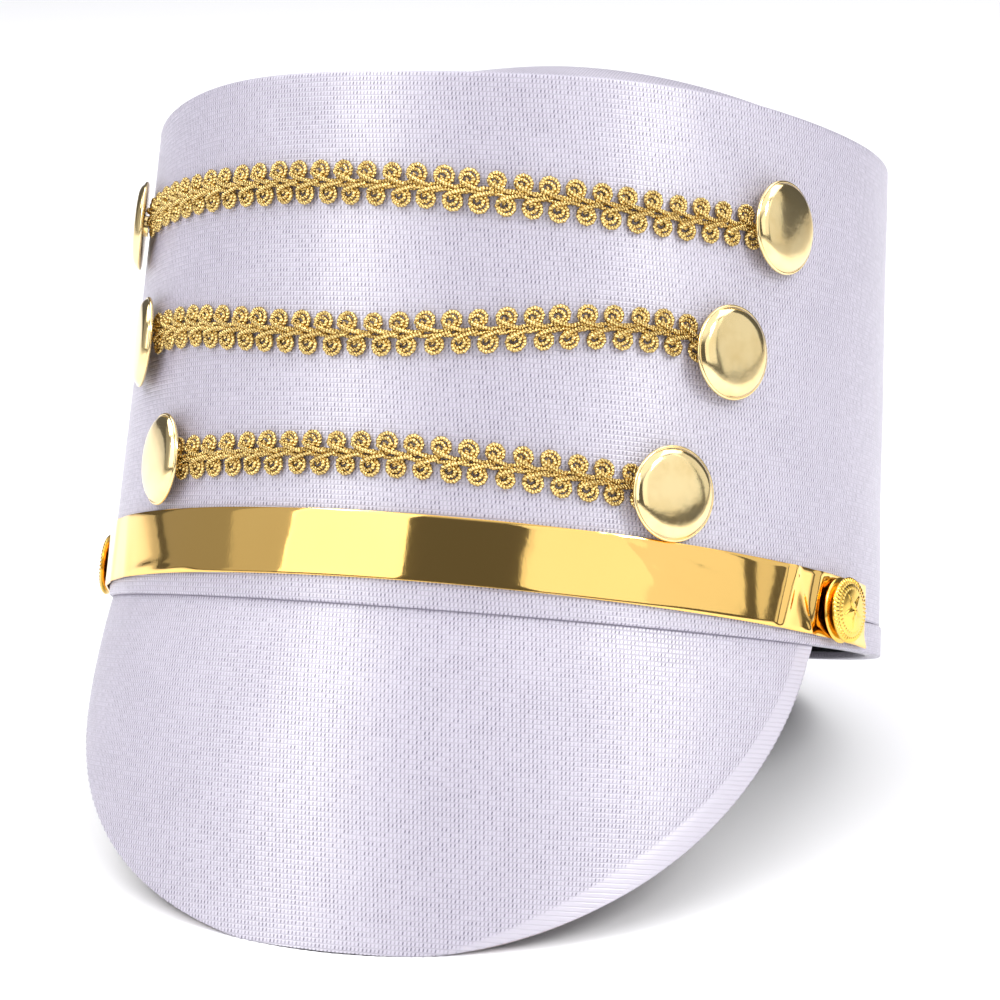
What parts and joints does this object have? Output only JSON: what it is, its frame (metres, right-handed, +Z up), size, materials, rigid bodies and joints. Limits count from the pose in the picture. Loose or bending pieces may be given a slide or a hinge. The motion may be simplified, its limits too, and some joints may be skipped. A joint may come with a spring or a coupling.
{
  "type": "marching band hat",
  "caption": "Tall round satin marching band hat with a long rounded peak, rows of gold gimp braid, flat gold buttons and a gold band held by domed side buttons.",
  "frame": {"origin": "centre of the hat's footprint box, on the surface it stands on", "axes": "+Z up; -Y towards the hat's front, where the peak is; +X to the right of someone who looks at the front. The hat is tilted back 22.23 degrees about X, so that it stands on the peak's lower edge and on the back of the rim"},
  "size_m": [0.201, 0.2549, 0.1826],
  "materials": {
    "white_satin": "white satin with fine crosswise ribs",
    "black_band": "matt black woven band",
    "gold_foil": "mirror-like gold foil cloth",
    "gold_braid": "twisted metallic gold gimp",
    "pale_gold": "polished pale gold",
    "deep_gold": "polished deep yellow gold"
  },
  "bodies": {
    "root": {"crown_wall": "white_satin", "crown_top": "white_satin", "rim_strip": "white_satin", "sweatband": "black_band", "peak": "white_satin", "gold_band": "gold_foil", "braid_top": "gold_braid", "braid_middle": "gold_braid", "braid_lower": "gold_braid", "button_top_left": "pale_gold", "button_top_right": "pale_gold", "button_middle_left": "pale_gold", "button_middle_right": "pale_gold", "button_lower_left": "pale_gold", "button_lower_right": "pale_gold", "side_button_back_left": "deep_gold", "side_button_face_left": "deep_gold", "side_button_back_right": "deep_gold", "side_button_face_right": "deep_gold"}
  },
  "joints": []
}
